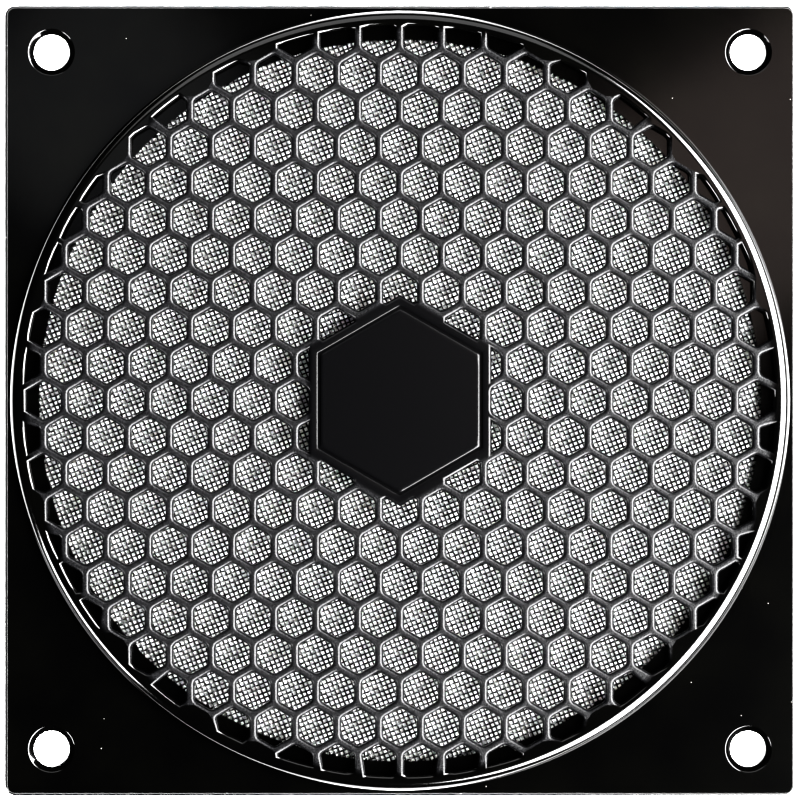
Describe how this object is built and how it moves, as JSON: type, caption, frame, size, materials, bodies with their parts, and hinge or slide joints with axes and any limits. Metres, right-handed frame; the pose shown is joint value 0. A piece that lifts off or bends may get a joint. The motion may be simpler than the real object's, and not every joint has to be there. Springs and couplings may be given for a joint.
{
  "type": "fan dust filter",
  "caption": "Square moulded fan dust filter: flat plate with corner screw holes, a raised round honeycomb grille with a plain hexagonal centre pad, and a woven mesh bonded in the back.",
  "frame": {"origin": "centre of the plate on its back face, which seats on the fan", "axes": "+Z out of the grille's front, X and Y along the plate's sides"},
  "size_m": [0.119, 0.119, 0.004],
  "materials": {
    "black_plastic": "smooth gloss plate and ring, fine matt texture on the ribs",
    "black_mesh": "woven glossy monofilament"
  },
  "bodies": {
    "root": {"grille_frame": "black_plastic", "filter_mesh": "black_mesh"}
  },
  "joints": []
}
